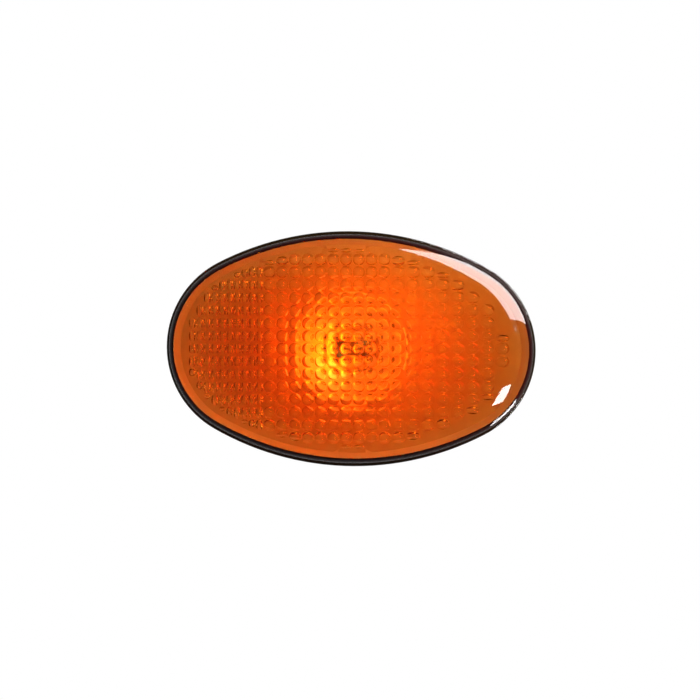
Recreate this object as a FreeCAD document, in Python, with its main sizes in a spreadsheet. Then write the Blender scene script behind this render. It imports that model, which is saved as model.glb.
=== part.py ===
import FreeCAD
import Part
import Sketcher
import math
import operator
import os

# An oval amber side indicator lamp for a car wing.
# Lengths are millimetres and angles degrees. The panel seat is the plane y = 0, the lens
# faces -Y, +X is to the right of someone who looks at the lens and +Z is up.
DRIVING_SIZES = {
    # Oval outline: the long sides bow out past a straight-sided slot by side_bow.
    "lamp_width": 73.8,
    "lamp_height": 47.0,
    "side_bow": 4.6,
    "outline_tilt": -1.3,
    # Panel gasket
    "gasket_thickness": 1.6,
    "gasket_width": 4.5,
    "gasket_setback": 0.8,
    # Housing
    "flange_thickness": 1.6,
    "rim_thickness": 1.0,
    "rim_height": 2.2,
    "plinth_width": 40.0,
    "plinth_wall": 1.6,
    "plinth_corner": 5.0,
    "plinth_depth": 13.0,
    "back_wall": 2.0,
    "panel_thickness": 1.3,
    "catch_width": 9.0,
    "catch_reach": 3.4,
    "catch_ramp": 5.6,
    "catch_land": 1.2,
    "spring_thickness": 1.4,
    "spring_gap": 2.8,
    "spring_barb": 2.0,
    # Lens
    "flange_reveal": 0.1,
    "lip_width": 0.5,
    "lip_thickness": 1.2,
    "lens_height": 11.0,
    "lens_wall": 1.0,
    "lens_front": 3.0,
    "skirt_draft": 3.0,
    "crown_width": 12.0,
    "crown_drop": 4.5,
    # Pillow optics on the inner face of the lens
    "optic_margin": 1.83,
    "optic_trim": 1.7,
    "row_pitch": 2.48,
    "fine_pitch": 1.45,
    "middle_pitch": 2.5,
    "wide_pitch": 2.9,
    "fine_left": 17.25,
    "wide_left": 7.75,
    "pillow_gap": 0.2,
    "pillow_depth": 0.6,
    "pillow_draft": 42.0,
    # Reflector
    "reflector_wall": 1.2,
    "dish_edge": 0.8,
    "dish_lip": 1.0,
    "dish_slope": 45.0,
    "bowl_radius": 11.0,
    "bowl_depth": 5.6,
    "bowl_curve": 24.0,
    "bowl_clearance": 0.4,
    "bulb_clearance": 0.7,
    # Bulb
    "envelope_radius": 5.1,
    "envelope_wall": 0.7,
    "envelope_length": 14.0,
    "bulb_length": 26.8,
    "bulb_tip": 8.8,
    "pinch_length": 3.0,
    "wedge_width": 9.5,
    "wedge_thickness": 2.5,
    "lead_radius": 0.2,
    "lead_spread": 2.0,
    "lead_reach": 7.0,
    "lead_fold": 7.0,
    "filament_radius": 0.25,
    # Bulb holder
    "barrel_radius": 8.4,
    "barrel_length": 8.3,
    "lug_angle": 30.0,
    "lug_reach": 1.8,
    "lug_width": 4.2,
    "lug_thickness": 1.5,
    "lug_gap": 0.3,
    "bayonet_turn": 40.0,
    "holder_flange": 3.8,
    "holder_flange_thickness": 2.2,
    "slot_gap": 0.25,
    "shroud_width": 17.0,
    "shroud_height": 12.0,
    "shroud_corner": 2.0,
    "shroud_wall": 1.4,
    "shroud_length": 14.5,
    "shroud_cavity": 11.0,
    "shroud_catch": 1.2,
    "shroud_catch_length": 3.0,
    "shroud_catch_width": 5.0,
    # Holder seal
    "seal_thickness": 1.2,
    "seal_width": 2.65,
    # Contacts
    "contact_width": 2.4,
    "contact_thickness": 0.5,
    "contact_pitch": 5.0,
    "contact_setback": 0.8,
    "blade_length": 9.3,
    # Clearances
    "fit_gap": 0.15,
    "slide_gap": 0.2,
    "touch_gap": 0.05,
}

# How far cutting blocks reach past what they cut.
CUT_SPARE = 2.0
LUG_COUNT = 3
PILLOW_CORNER = 0.29


class Size:
    """A number of the model with the sheet expression that gives it."""

    def __init__(self, text, number):
        self.text = text
        self.number = number

    def __add__(self, other):
        return combine(self, "+", other)

    def __radd__(self, other):
        return combine(other, "+", self)

    def __sub__(self, other):
        return combine(self, "-", other)

    def __rsub__(self, other):
        return combine(other, "-", self)

    def __mul__(self, other):
        return combine(self, "*", other)

    def __rmul__(self, other):
        return combine(other, "*", self)

    def __truediv__(self, other):
        return combine(self, "/", other)

    def __neg__(self):
        return combine(0, "-", self)


OPERATIONS = {
    "+": operator.add,
    "-": operator.sub,
    "*": operator.mul,
    "/": operator.truediv,
}


def as_size(value):
    if isinstance(value, Size):
        return value
    return Size(str(value), float(value))


def combine(left, sign, right):
    left = as_size(left)
    right = as_size(right)
    number = OPERATIONS[sign](left.number, right.number)
    return Size(f"({left.text} {sign} {right.text})", number)


class Sizes:
    """The driving sizes of the sheet, one attribute each."""


def fill_sheet(doc):
    sheet = doc.addObject("Spreadsheet::Sheet", "Sizes")
    sizes = Sizes()
    for row, (alias, number) in enumerate(DRIVING_SIZES.items(), start=1):
        sheet.set(f"A{row}", alias)
        sheet.set(f"B{row}", str(number))
        sheet.setAlias(f"B{row}", alias)
        setattr(sizes, alias, Size(f"Sizes.{alias}", number))
    doc.recompute()
    return sizes


def add_shared_sizes(s):
    """Sizes that several pieces share, worked out from the driving ones."""
    s.end_radius = s.lamp_height / 2 - s.side_bow
    s.end_centre = s.lamp_width / 2 - s.end_radius
    s.side_radius = (
        s.end_centre * s.end_centre
        + s.lamp_height * s.lamp_height / 4
        - s.end_radius * s.end_radius
    ) / (2 * s.side_bow)
    s.flange_rear = s.gasket_thickness
    s.lens_seat = s.flange_rear + s.flange_thickness
    s.apex = s.lens_seat + s.lens_height
    s.optic_level = s.apex - s.lens_front
    s.crown_inset = s.flange_reveal + s.lip_width
    s.core_inset = s.crown_inset + s.lens_wall
    s.hollow_slope = Size(f"tan({s.skirt_draft.text})", math.tan(math.radians(s.skirt_draft.number)))
    s.rim_inset = s.core_inset + s.fit_gap + s.hollow_slope * s.rim_height
    s.reflector_inset = s.rim_inset + s.rim_thickness + s.fit_gap
    s.dish_rear = s.lens_seat + s.rim_height + s.touch_gap
    s.dish_front = s.dish_rear + s.dish_edge
    s.dish_inset = s.core_inset + s.fit_gap + s.hollow_slope * (s.dish_front - s.lens_seat)
    s.plinth_height = 2 * (s.bowl_radius + s.reflector_wall + s.bowl_clearance + s.plinth_wall)
    s.bore_radius = s.barrel_radius + s.slide_gap
    s.lug_radius = s.barrel_radius + s.lug_reach
    s.lug_rear = s.plinth_depth - s.back_wall - s.lug_gap
    s.seal_front = s.plinth_depth + s.touch_gap
    s.holder_front = s.seal_front + s.seal_thickness + s.touch_gap
    s.barrel_front = s.holder_front - s.barrel_length
    s.holder_rear = s.holder_front + s.holder_flange_thickness
    s.shroud_rear = s.holder_rear + s.shroud_length
    s.shroud_floor = s.shroud_rear - s.shroud_cavity
    s.wedge_rear = s.bulb_length - s.bulb_tip
    s.bowl_rear = s.bowl_depth - s.lens_seat - s.reflector_wall
    s.bowl_hole = s.envelope_radius + s.bulb_clearance
    s.lead_level = s.wedge_thickness / 2 + s.lead_radius + s.touch_gap
    s.slot_rear = s.wedge_rear + s.lead_level / 2 + s.lead_radius + s.touch_gap
    s.contact_level = s.lead_level + s.lead_radius + s.touch_gap + s.contact_thickness / 2
    s.filament_level = s.lead_reach - s.bulb_tip


def bind(feature, name, size):
    feature.setExpression(name, as_size(size).text)


def bind_constraint(sketch, size, kind, *places):
    size = as_size(size)
    index = sketch.addConstraint(Sketcher.Constraint(kind, *places, size.number))
    name = f"size_{index}"
    sketch.renameConstraint(index, name)
    sketch.setExpression(f"Constraints.{name}", size.text)


def make_body(doc, label):
    body = doc.addObject("PartDesign::Body", label)
    body.Label = label
    return body


def make_sketch(body, name, plane, level=None, turn=None, shift=None):
    """A sketch on one of the body's own planes, moved along the plane's normal by level."""
    sketch = body.newObject("Sketcher::SketchObject", name)
    support = next(f for f in body.Origin.OriginFeatures if f.Role == plane)
    sketch.AttachmentSupport = [(support, "")]
    sketch.MapMode = "FlatFace"
    if level is not None:
        bind(sketch, "AttachmentOffset.Base.z", level)
    if shift is not None:
        bind(sketch, "AttachmentOffset.Base.x", shift)
    if turn is not None:
        upright = FreeCAD.Rotation(FreeCAD.Vector(0, 0, 1), as_size(turn).number)
        sketch.AttachmentOffset = FreeCAD.Placement(FreeCAD.Vector(), upright)
        bind(sketch, "AttachmentOffset.Rotation.Angle", turn)
    return sketch


def point(x, y):
    return FreeCAD.Vector(as_size(x).number, as_size(y).number, 0)


def place_vertex(sketch, geometry, end, x, y):
    """Ties a vertex to its distances from the sketch origin, or to an axis where one is 0."""
    if isinstance(x, Size):
        bind_constraint(sketch, x, "DistanceX", -1, 1, geometry, end)
    else:
        sketch.addConstraint(Sketcher.Constraint("PointOnObject", geometry, end, -2))
    if isinstance(y, Size):
        bind_constraint(sketch, y, "DistanceY", -1, 1, geometry, end)
    else:
        sketch.addConstraint(Sketcher.Constraint("PointOnObject", geometry, end, -1))


def join_ends(sketch, geometries, kind="Coincident"):
    """Joins the end of each curve to the start of the next, round the loop."""
    followers = geometries[1:] + geometries[:1]
    for geometry, follower in zip(geometries, followers):
        sketch.addConstraint(Sketcher.Constraint(kind, geometry, 2, follower, 1))


def draw_polygon(sketch, vertices):
    followers = vertices[1:] + vertices[:1]
    lines = []
    for (x, y), (next_x, next_y) in zip(vertices, followers):
        line = Part.LineSegment(point(x, y), point(next_x, next_y))
        lines.append(sketch.addGeometry(line))
    join_ends(sketch, lines)
    for line, (x, y) in zip(lines, vertices):
        place_vertex(sketch, line, 1, x, y)


def draw_circle(sketch, radius, x=0, y=0):
    circle = Part.Circle(point(x, y), FreeCAD.Vector(0, 0, 1), as_size(radius).number)
    geometry = sketch.addGeometry(circle)
    place_vertex(sketch, geometry, 3, x, y)
    bind_constraint(sketch, radius, "Radius", geometry)


def draw_arc(sketch, x, y, radius, start, end):
    circle = Part.Circle(point(x, y), FreeCAD.Vector(0, 0, 1), as_size(radius).number)
    geometry = sketch.addGeometry(Part.ArcOfCircle(circle, start, end))
    bind_constraint(sketch, radius, "Radius", geometry)
    return geometry


def draw_oval(sketch, s, inset, end_centre=None):
    """Two end arcs and two flatter side arcs, tangent, parallel to the outline at the inset."""
    end_centre = end_centre or s.end_centre
    end_radius = s.end_radius - inset
    side_radius = (
        end_centre * end_centre + (end_radius + s.side_bow) * (end_radius + s.side_bow)
        - end_radius * end_radius
    ) / (2 * s.side_bow)
    side_centre = side_radius - end_radius - s.side_bow
    joint = math.atan2(side_centre.number, end_centre.number)
    quarter = math.pi / 2
    arcs = [
        draw_arc(sketch, end_centre, 0, end_radius, -joint, joint),
        draw_arc(sketch, 0, -side_centre, side_radius, joint, 2 * quarter - joint),
        draw_arc(sketch, -end_centre, 0, end_radius, 2 * quarter - joint, 2 * quarter + joint),
        draw_arc(sketch, 0, side_centre, side_radius, 2 * quarter + joint, 4 * quarter - joint),
    ]
    join_ends(sketch, arcs, "Tangent")
    place_vertex(sketch, arcs[0], 3, end_centre, 0)
    place_vertex(sketch, arcs[2], 3, -end_centre, 0)


def draw_rounded_rectangle(sketch, width, height, radius):
    right = width / 2 - radius
    top = height / 2 - radius
    quarter = math.pi / 2
    corners = [(right, top), (-right, top), (-right, -top), (right, -top)]
    curves = []
    for turn, (x, y) in enumerate(corners):
        arc = draw_arc(sketch, x, y, radius, turn * quarter, (turn + 1) * quarter)
        place_vertex(sketch, arc, 3, x, y)
        end = sketch.Geometry[arc].EndPoint
        next_x, next_y = corners[(turn + 1) % 4]
        swing = FreeCAD.Vector(math.cos((turn + 1) * quarter), math.sin((turn + 1) * quarter), 0)
        side = Part.LineSegment(end, point(next_x, next_y) + swing * as_size(radius).number)
        curves += [arc, sketch.addGeometry(side)]
    join_ends(sketch, curves, "Tangent")


def oval_sketch(body, s, name, inset, level):
    sketch = make_sketch(body, name, "XZ_Plane", level, s.outline_tilt)
    draw_oval(sketch, s, inset)
    return sketch


def extrude(kind, body, sketch, name, length, backward, draft, symmetric):
    feature = body.newObject(f"PartDesign::{kind}", name)
    feature.Profile = sketch
    feature.Reversed = backward
    if symmetric:
        feature.SideType = "Symmetric"
    bind(feature, "Length", length)
    if draft is not None:
        bind(feature, "TaperAngle", draft)
    return feature


def pad(body, sketch, name, length, backward=False, draft=None, symmetric=False):
    return extrude("Pad", body, sketch, name, length, backward, draft, symmetric)


def pocket(body, sketch, name, length, backward=False, draft=None, symmetric=False):
    return extrude("Pocket", body, sketch, name, length, backward, draft, symmetric)


def spin(kind, body, sketch, name, axis="V_Axis"):
    feature = body.newObject(f"PartDesign::{kind}", name)
    feature.Profile = sketch
    feature.ReferenceAxis = (sketch, [axis])
    feature.Angle = 360
    return feature


def doubled_angle(rise, run):
    """Twice the angle whose tangent is rise / run, in degrees."""
    number = 2 * math.degrees(math.atan2(rise.number, run.number))
    return Size(f"2 * atan2({rise.text}; {run.text})", number)


def draw_crown_section(sketch, s, radius, base, top):
    """Section of the crown beside the axis of an outline arc: elliptic front and drafted skirt."""
    draft = math.radians(s.skirt_draft.number)
    foot = point(radius, -base)
    heel = point(radius - s.crown_width, -base)
    summit = point(radius - s.crown_width, -top)
    centre = point(radius - s.crown_width, s.crown_drop - top)
    drop = s.crown_drop.number
    # The skirt is tangent to the ellipse, so its line at the centre's level gives the long half axis.
    lean = math.tan(draft)
    skirt_reach = s.crown_width.number - (top - base).number * lean + drop * lean
    half_axis = math.sqrt(skirt_reach**2 - (drop * lean) ** 2)
    joint = math.atan(drop * lean / half_axis)
    ellipse = Part.Ellipse(centre, half_axis, drop)
    front = sketch.addGeometry(Part.ArcOfEllipse(ellipse, -math.pi / 2, -joint))
    end = sketch.Geometry[front].EndPoint
    skirt = sketch.addGeometry(Part.LineSegment(end, foot))
    floor = sketch.addGeometry(Part.LineSegment(foot, heel))
    inner = sketch.addGeometry(Part.LineSegment(heel, summit))
    sketch.addConstraint(Sketcher.Constraint("Tangent", front, 2, skirt, 1))
    for first, second in ((skirt, floor), (floor, inner), (inner, front)):
        sketch.addConstraint(Sketcher.Constraint("Coincident", first, 2, second, 1))
    place_vertex(sketch, skirt, 2, radius, -base)
    place_vertex(sketch, floor, 2, radius - s.crown_width, -base)
    sketch.addConstraint(Sketcher.Constraint("Vertical", inner))
    bind_constraint(sketch, -top, "DistanceY", -1, 1, inner, 2)
    place_vertex(sketch, front, 3, radius - s.crown_width, s.crown_drop - top)
    sketch.exposeInternalGeometry(front)
    long_axis = inner + 1
    sketch.addConstraint(Sketcher.Constraint("Horizontal", long_axis))
    angle = sketch.addConstraint(Sketcher.Constraint("Angle", skirt, math.pi / 2 - draft))
    sketch.renameConstraint(angle, "skirt_slope")
    sketch.setExpression("Constraints.skirt_slope", f"(90 - {s.skirt_draft.text}) * 1 deg")


def crowned_block(doc, s, name, inset, base, top):
    """An oval block with a rounded front: a flat-fronted middle and a sector for each outline arc."""
    body = make_body(doc, name)
    body.Placement.Rotation = FreeCAD.Rotation(FreeCAD.Vector(0, -1, 0), s.outline_tilt.number)
    bind(body, "Placement.Rotation.Angle", s.outline_tilt)
    middle = make_sketch(body, f"{name}_middle", "XZ_Plane", base)
    draw_oval(middle, s, inset + s.crown_width)
    pad(body, middle, f"{name}_plateau", top - base)
    side_centre = s.side_radius - s.lamp_height / 2
    end_sweep = doubled_angle(side_centre, s.end_centre)
    side_sweep = doubled_angle(s.end_centre, side_centre)
    sectors = (
        ("right", s.end_radius, end_sweep, "x", s.end_centre, 0),
        ("upper", s.side_radius, side_sweep, "z", -side_centre, -90),
        ("left", s.end_radius, end_sweep, "x", -s.end_centre, 180),
        ("lower", s.side_radius, side_sweep, "z", side_centre, 90),
    )
    for side, radius, sweep, axis, centre, turn in sectors:
        section = make_sketch(body, f"{name}_{side}_section", "XY_Plane")
        facing = FreeCAD.Rotation(FreeCAD.Vector(0, 1, 0), turn)
        section.AttachmentOffset = FreeCAD.Placement(FreeCAD.Vector(), facing)
        bind(section, f"AttachmentOffset.Base.{axis}", centre)
        draw_crown_section(section, s, radius - inset, base, top)
        sector = spin("Revolution", body, section, f"{name}_{side}")
        sector.Midplane = True
        bind(sector, "Angle", sweep)
    return body


def grid_lines(start, pitch, limit):
    """Grid lines from start in steps of pitch, up to the first at or past limit."""
    count = math.ceil((limit - start) / pitch)
    return [start + pitch * step for step in range(count + 1)]


def optic_cells(s):
    """Cells of the optics: rows of one height, three column widths, trimmed to the optic oval."""
    inset = (s.core_inset + s.optic_margin + s.hollow_slope * (s.lens_height - s.lens_front)).number
    trim = s.optic_trim.number / 2
    end_radius = s.end_radius.number - inset
    end_centre = s.end_centre.number - trim
    reach = end_centre + end_radius
    half_height = end_radius + s.side_bow.number
    side_radius = (end_centre**2 + half_height**2 - end_radius**2) / (2 * s.side_bow.number)
    joint = end_centre * side_radius / (side_radius - end_radius)
    tilt = math.tan(math.radians(s.outline_tilt.number))
    gap = s.pillow_gap.number

    def rise(x):
        across = abs(x + trim)
        if across >= reach:
            return 0.0
        if across > joint:
            return math.sqrt(end_radius**2 - (across - end_centre) ** 2)
        return math.sqrt(side_radius**2 - across**2) - side_radius + half_height

    fine = grid_lines(s.fine_left.number, s.fine_pitch.number, reach + trim)
    count = round((s.fine_left + s.wide_left).number / s.middle_pitch.number)
    pitch = (s.fine_left + s.wide_left).number / count
    middle = [pitch * step - s.fine_left.number for step in range(1, count)]
    wide = grid_lines(s.wide_left.number, s.wide_pitch.number, reach - trim)
    columns = [-x for x in reversed(fine)] + middle + wide
    upper = grid_lines(s.row_pitch.number / 2, s.row_pitch.number, half_height)
    rows = [-z for z in reversed(upper)] + upper
    for left, right in zip(columns, columns[1:]):
        for low, high in zip(rows, rows[1:]):
            top = min(high, rise(left) + left * tilt, rise(right) + right * tilt)
            bottom = max(low, left * tilt - rise(left), right * tilt - rise(right))
            if top - bottom > s.row_pitch.number / 3:
                yield left + gap / 2, right - gap / 2, bottom + gap / 2, top - gap / 2


def octagon(left, right, bottom, top, corner, depth):
    """A rectangle with its corners cut off, in a plane across the bulb axis."""
    plan = (
        (left + corner, bottom),
        (right - corner, bottom),
        (right, bottom + corner),
        (right, top - corner),
        (right - corner, top),
        (left + corner, top),
        (left, top - corner),
        (left, bottom + corner),
    )
    return [FreeCAD.Vector(x, depth, z) for x, z in plan]


def outline_wire(corners):
    return Part.makePolygon(corners + corners[:1])


def pillow_optics(doc, s, shell):
    """The lens with a drafted eight-sided dimple in its flat inner face for each cell of the optics."""
    level = -s.optic_level.number
    slope = math.tan(math.radians(s.pillow_draft.number))
    feet = []
    pillows = []
    for left, right, bottom, top in optic_cells(s):
        depth = min(s.pillow_depth.number, min(right - left, top - bottom) / slope / 3)
        inset = depth * slope
        corner = PILLOW_CORNER * min(right - left, top - bottom)
        foot = octagon(left, right, bottom, top, corner, level)
        crown = octagon(left + inset, right - inset, bottom + inset, top - inset,
                        corner - inset * (2 - math.sqrt(2)), level - depth)
        feet.append(outline_wire(foot))
        pillows.append(Part.Face(outline_wire(crown)))
        for start in range(len(foot)):
            end = (start + 1) % len(foot)
            side = [foot[start], foot[end], crown[end], crown[start]]
            pillows.append(Part.Face(outline_wire(side)))
    boxes = [(f, f.BoundBox) for f in shell.Shape.Faces]
    floor = next(f for f, box in boxes if abs(box.YMin - level) < 1e-6 and abs(box.YMax - level) < 1e-6)
    others = [f for f in shell.Shape.Faces if not f.isSame(floor)]
    pierced = Part.Face([floor.OuterWire] + feet, "Part::FaceMakerBullseye")
    skin = Part.Shell(others + [pierced] + pillows)
    skin.sewShape()
    lens = doc.addObject("Part::Feature", "lens")
    lens.Shape = Part.Solid(skin)
    lens.Label = "lens"
    return lens


def build_lens(doc, s):
    shell = crowned_block(doc, s, "lens_shell", s.crown_inset, s.lens_seat, s.apex)
    lip = make_sketch(shell, "lens_lip_outline", "XZ_Plane", s.lens_seat)
    draw_oval(lip, s, s.flange_reveal)
    pad(shell, lip, "lens_lip", s.lip_thickness)
    hollow = make_sketch(shell, "lens_hollow_outline", "XZ_Plane", s.lens_seat)
    draw_oval(hollow, s, s.core_inset)
    pocket(shell, hollow, "lens_hollow", s.lens_height - s.lens_front, backward=True, draft=-s.skirt_draft)
    doc.recompute()
    return pillow_optics(doc, s, shell)


def build_gasket(doc, s):
    body = make_body(doc, "panel_gasket")
    ring = oval_sketch(body, s, "gasket_outline", s.gasket_setback, 0)
    draw_oval(ring, s, s.gasket_setback + s.gasket_width)
    pad(body, ring, "gasket_ring", s.gasket_thickness)
    return body


def repeat_round_axis(body, sketch, feature, name, count):
    """Copies a feature round the lamp's axis."""
    pattern = body.newObject("PartDesign::PolarPattern", name)
    pattern.Originals = [feature]
    pattern.Axis = (sketch, ["N_Axis"])
    pattern.Angle = 360
    pattern.Occurrences = count
    body.Tip = pattern


def draw_radial_bar(sketch, start, end, width):
    """A bar that runs outwards from the axis along the sketch's own x axis."""
    draw_polygon(sketch, [(start, -width / 2), (end, -width / 2), (end, width / 2), (start, width / 2)])


def add_fixed_catch(body, s):
    """The rigid hook at the right end, which goes behind the panel first."""
    profile = make_sketch(body, "catch_profile", "XY_Plane")
    root = s.plinth_width / 2 - s.plinth_wall / 2
    tip = s.plinth_width / 2 + s.catch_reach
    land = s.panel_thickness + s.catch_land
    draw_polygon(profile, [
        (root, s.panel_thickness),
        (tip, s.panel_thickness),
        (tip, land),
        (root, land + s.catch_ramp),
    ])
    pad(body, profile, "fixed_catch", s.catch_width, symmetric=True)


def add_spring_catch(body, s):
    """The spring arm at the left end, rooted at the back, with a barb that snaps behind the panel."""
    profile = make_sketch(body, "spring_profile", "XY_Plane")
    root = s.plinth_wall / 2 - s.plinth_width / 2
    inner = -s.plinth_width / 2 - s.spring_gap
    outer = inner - s.spring_thickness
    barb = outer - s.spring_barb
    tip = s.panel_thickness / 2
    land = s.panel_thickness + s.catch_land
    bridge = s.plinth_depth - s.spring_thickness
    draw_polygon(profile, [
        (root, s.plinth_depth),
        (outer, s.plinth_depth),
        (outer, land + s.catch_ramp),
        (barb, land),
        (barb, s.panel_thickness),
        (outer, s.panel_thickness),
        (outer, tip),
        (inner, tip),
        (inner, bridge),
        (root, bridge),
    ])
    pad(body, profile, "spring_catch", s.catch_width, symmetric=True)


def build_housing(doc, s):
    body = make_body(doc, "housing")
    flange = oval_sketch(body, s, "flange_outline", 0, s.flange_rear)
    pad(body, flange, "flange", s.flange_thickness)
    rim = oval_sketch(body, s, "rim_outline", s.rim_inset, s.lens_seat)
    draw_oval(rim, s, s.rim_inset + s.rim_thickness)
    pad(body, rim, "rim", s.rim_height)
    plinth = make_sketch(body, "plinth_outline", "XZ_Plane", s.flange_rear)
    draw_rounded_rectangle(plinth, s.plinth_width, s.plinth_height, s.plinth_corner)
    pad(body, plinth, "plinth", s.flange_rear + s.plinth_depth, backward=True)
    add_fixed_catch(body, s)
    add_spring_catch(body, s)
    hollow = make_sketch(body, "plinth_hollow_outline", "XZ_Plane", s.lens_seat)
    draw_rounded_rectangle(hollow, s.plinth_width - 2 * s.plinth_wall,
                           s.plinth_height - 2 * s.plinth_wall, s.plinth_corner - s.plinth_wall)
    pocket(body, hollow, "plinth_hollow", s.lens_seat + s.plinth_depth - s.back_wall)
    bore = make_sketch(body, "bore_outline", "XZ_Plane", s.back_wall - s.plinth_depth)
    draw_circle(bore, s.bore_radius)
    pocket(body, bore, "bore", s.back_wall + CUT_SPARE)
    notch = make_sketch(body, "notch_outline", "XZ_Plane", s.back_wall - s.plinth_depth,
                        s.lug_angle - s.bayonet_turn)
    draw_radial_bar(notch, s.bore_radius / 2, s.lug_radius + s.slide_gap, s.lug_width + 2 * s.slide_gap)
    cut = pocket(body, notch, "notch", s.back_wall + CUT_SPARE)
    repeat_round_axis(body, notch, cut, "notches", LUG_COUNT)
    return body


def draw_bowl(sketch, front, rear, mouth, hole, curve, lid):
    """Half section of the bowl: a lid line in front, the curved wall, and the rear face."""
    swell = Part.Arc(point(mouth, front), bowl_middle(front, rear, mouth, hole, curve), point(hole, rear))
    wall = sketch.addGeometry(swell)
    starts_at_mouth = sketch.Geometry[wall].StartPoint.isEqual(point(mouth, front), 1e-6)
    mouth_end, hole_end = (1, 2) if starts_at_mouth else (2, 1)
    corners = [(hole, rear), (0, rear), (0, lid), (mouth, lid), (mouth, front)]
    lines = []
    for (x, y), (next_x, next_y) in zip(corners, corners[1:]):
        lines.append(sketch.addGeometry(Part.LineSegment(point(x, y), point(next_x, next_y))))
    for line, follower in zip(lines, lines[1:]):
        sketch.addConstraint(Sketcher.Constraint("Coincident", line, 2, follower, 1))
    sketch.addConstraint(Sketcher.Constraint("Coincident", wall, hole_end, lines[0], 1))
    sketch.addConstraint(Sketcher.Constraint("Coincident", wall, mouth_end, lines[-1], 2))
    for line, (x, y) in zip(lines, corners):
        place_vertex(sketch, line, 1, x, y)
    place_vertex(sketch, lines[-1], 2, mouth, front)
    bind_constraint(sketch, curve, "Radius", wall)


def bowl_middle(front, rear, mouth, hole, curve):
    """The middle point of the bowl's arc, which bulges away from the axis."""
    start = point(mouth, front)
    end = point(hole, rear)
    chord = end - start
    outward = FreeCAD.Vector(chord.y, -chord.x, 0).normalize()
    sag = curve.number - math.sqrt(curve.number**2 - chord.Length**2 / 4)
    return (start + end) * 0.5 + outward * sag


def build_reflector(doc, s):
    body = make_body(doc, "reflector")
    plate = oval_sketch(body, s, "reflector_outline", s.reflector_inset, s.lens_seat)
    pad(body, plate, "reflector_plate", s.dish_rear - s.lens_seat)
    edge = oval_sketch(body, s, "dish_edge_outline", s.dish_inset, s.dish_rear)
    pad(body, edge, "dish_edge", s.dish_edge)
    face = s.lens_seat + s.reflector_wall
    dish = oval_sketch(body, s, "dish_mouth", s.dish_inset + s.dish_lip, s.dish_front)
    pocket(body, dish, "dish", s.dish_front - face, draft=-s.dish_slope)
    outer = make_sketch(body, "bowl_outer_section", "XY_Plane")
    draw_bowl(outer, -s.lens_seat, s.bowl_rear, s.bowl_radius + s.reflector_wall,
              s.bowl_hole + s.reflector_wall, s.bowl_curve + s.reflector_wall, -face)
    spin("Revolution", body, outer, "bowl_outer")
    inner = make_sketch(body, "bowl_inner_section", "XY_Plane")
    draw_bowl(inner, -face, s.bowl_rear, s.bowl_radius, s.bowl_hole, s.bowl_curve, -face - CUT_SPARE)
    spin("Groove", body, inner, "bowl_inner")
    return body


def build_holder(doc, s):
    body = make_body(doc, "bulb_holder")
    section = make_sketch(body, "barrel_section", "XY_Plane")
    flange_radius = s.barrel_radius + s.holder_flange
    draw_polygon(section, [
        (0, s.barrel_front),
        (s.barrel_radius, s.barrel_front),
        (s.barrel_radius, s.holder_front),
        (flange_radius, s.holder_front),
        (flange_radius, s.holder_rear),
        (0, s.holder_rear),
    ])
    spin("Revolution", body, section, "barrel")
    lug = make_sketch(body, "lug_outline", "XZ_Plane", -s.lug_rear, s.lug_angle)
    draw_radial_bar(lug, s.barrel_radius / 2, s.lug_radius, s.lug_width)
    bar = pad(body, lug, "lug", s.lug_thickness)
    repeat_round_axis(body, lug, bar, "lugs", LUG_COUNT)
    shroud = make_sketch(body, "shroud_outline", "XZ_Plane", -s.holder_rear)
    draw_rounded_rectangle(shroud, s.shroud_width, s.shroud_height, s.shroud_corner)
    pad(body, shroud, "shroud", s.shroud_length, backward=True)
    catch = make_sketch(body, "shroud_catch_profile", "YZ_Plane")
    base = s.shroud_height / 2 - s.shroud_wall / 2
    crest = s.shroud_height / 2 + s.shroud_catch
    middle = s.shroud_rear - s.shroud_cavity / 2
    draw_polygon(catch, [
        (middle - s.shroud_catch_length / 2, base),
        (middle + s.shroud_catch_length / 2, base),
        (middle - s.shroud_catch_length / 2, crest),
    ])
    pad(body, catch, "shroud_catch", s.shroud_catch_width, symmetric=True)
    cavity = make_sketch(body, "shroud_cavity_outline", "XZ_Plane", -s.shroud_rear)
    draw_rounded_rectangle(cavity, s.shroud_width - 2 * s.shroud_wall,
                           s.shroud_height - 2 * s.shroud_wall, s.shroud_corner / 2)
    pocket(body, cavity, "shroud_cavity", s.shroud_cavity, backward=True)
    slot = make_sketch(body, "bulb_slot_outline", "XZ_Plane", -s.barrel_front)
    draw_box(slot, 0, s.wedge_width + 2 * s.slot_gap, s.wedge_thickness + 2 * s.slot_gap)
    pocket(body, slot, "bulb_slot", s.slot_rear - s.barrel_front)
    channels = make_sketch(body, "contact_channel_outline", "XZ_Plane", -s.barrel_front)
    height = 2 * s.contact_level + s.contact_thickness + 2 * s.touch_gap
    for side in (-1, 1):
        draw_box(channels, side * s.contact_pitch / 2, s.contact_width + 2 * s.touch_gap, height)
    pocket(body, channels, "contact_channels", s.shroud_floor - s.barrel_front + s.touch_gap)
    return body


def draw_box(sketch, middle, width, height):
    left = middle - width / 2
    right = middle + width / 2
    draw_polygon(sketch, [(left, -height / 2), (right, -height / 2), (right, height / 2), (left, height / 2)])


def build_seal(doc, s):
    body = make_body(doc, "holder_seal")
    ring = make_sketch(body, "seal_outline", "XZ_Plane", -s.seal_front)
    inner = s.barrel_radius + s.fit_gap
    draw_circle(ring, inner)
    draw_circle(ring, inner + s.seal_width)
    pad(body, ring, "seal_ring", s.seal_thickness, backward=True)
    return body


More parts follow.
